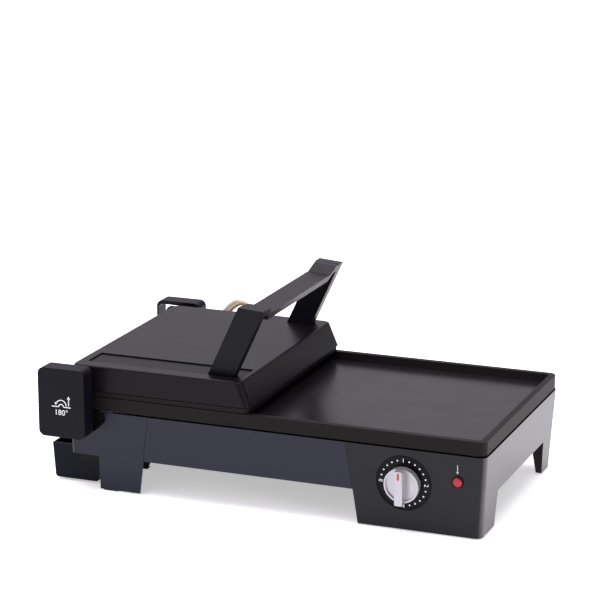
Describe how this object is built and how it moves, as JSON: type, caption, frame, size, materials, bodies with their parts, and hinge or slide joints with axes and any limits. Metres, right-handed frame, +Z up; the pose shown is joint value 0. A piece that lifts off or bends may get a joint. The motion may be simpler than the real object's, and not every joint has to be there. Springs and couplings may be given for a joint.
{
  "type": "griddle with a panini press",
  "caption": "Long electric tabletop griddle on legs with a hinged, liftable press lid over its left half, a slanted carry handle, a front dial and a pull-out drip tray",
  "frame": {"origin": "centre of the overall footprint, at the level the feet stand on", "axes": "+X to the right along the front, towards the control housing; +Y to the back; +Z up"},
  "size_m": [0.56, 0.36, 0.2415],
  "materials": {
    "body_shell": "dark satin metallic",
    "housing": "satin dark moulding",
    "black_plastic": "fine-grained black",
    "rubber": "matte",
    "pan": "matte black",
    "cast_plate": "cast, with a dark non-stick coating",
    "steel": "plain",
    "heater_sheath": "heat-darkened sheath",
    "ceramic_white": "unglazed",
    "dial_black": "satin black with light dial marks",
    "lamp_red": "translucent red",
    "lamp_white": "plain",
    "tower_paint": "dark satin",
    "tray": "dark blue-black",
    "knob_silver": "silver-painted",
    "pointer_red": "red",
    "lid_paint": "dark metallic",
    "strip_dark": "dark satin",
    "lid_frame": "black",
    "handle_paint": "dark satin",
    "handle_bar": "dark grey grip",
    "arm_black": "black",
    "cord_sleeve": "woven cream sleeve"
  },
  "bodies": {
    "base": {"left_end_shell": "body_shell", "front_panel": "body_shell", "rear_panel": "body_shell", "right_end_shell": "housing", "housing_cover": "black_plastic", "chassis_pan": "pan", "foot_pads": "rubber", "griddle_plate": "cast_plate", "griddle_posts": "steel", "base_heater": "heater_sheath", "base_reflector": "steel", "heat_shield": "steel", "drain_spout": "steel", "thermostat": "steel", "terminal_block": "ceramic_white", "dial_plate": "dial_black", "lamp_bezel": "black_plastic", "lamp_lens": "lamp_red", "lamp_body": "lamp_white", "tray_rails": "black_plastic", "mains_gland": "black_plastic", "base_link_gland": "black_plastic", "front_tower_cover": "tower_paint", "rear_tower_frame": "tower_paint", "tower_brackets": "black_plastic", "guide_rods": "steel", "link_cord_main": "cord_sleeve", "link_cord_earth": "cord_sleeve"},
    "tray": {"drip_tray": "tray"},
    "control": {"knob": "knob_silver", "knob_pointer": "pointer_red", "thermostat_shaft": "steel"},
    "hinge_carriage": {"front_slide_block": "black_plastic", "rear_slide_block": "black_plastic"},
    "lid": {"lid_casing": "lid_paint", "lid_trim_strip": "strip_dark", "lid_plate": "cast_plate", "lid_frame": "lid_frame", "lid_heater": "heater_sheath", "lid_reflector": "steel", "thermal_fuse": "ceramic_white", "handle_front_leg": "handle_paint", "handle_rear_leg": "handle_paint", "handle_bar": "handle_bar", "handle_screws": "steel", "hinge_arms": "arm_black", "hinge_pins": "steel", "arm_screws": "steel", "lid_link_gland": "black_plastic"}
  },
  "joints": [
    {"name": "lid_lift", "type": "slide", "parent": "base", "child": "hinge_carriage", "axis": [0, 0, 1], "range_m": [0, 0.02], "deforming": ["link_cord_main", "link_cord_earth"]},
    {"name": "lid_swing", "type": "hinge", "parent": "hinge_carriage", "child": "lid", "pos_m": [-0.247, 0, 0.1218], "axis": [0, -1, 0], "range_deg": [0, 180], "deforming": ["link_cord_main", "link_cord_earth"]},
    {"name": "knob_turn", "type": "hinge", "parent": "base", "child": "control", "pos_m": [0.1813, -0.14751, 0.0588], "axis": [0, 0.9982, 0.0596], "range_deg": [-90, 180]},
    {"name": "tray_pull", "type": "slide", "parent": "base", "child": "tray", "axis": [-1, 0, 0], "range_m": [0, 0.07]}
  ]
}
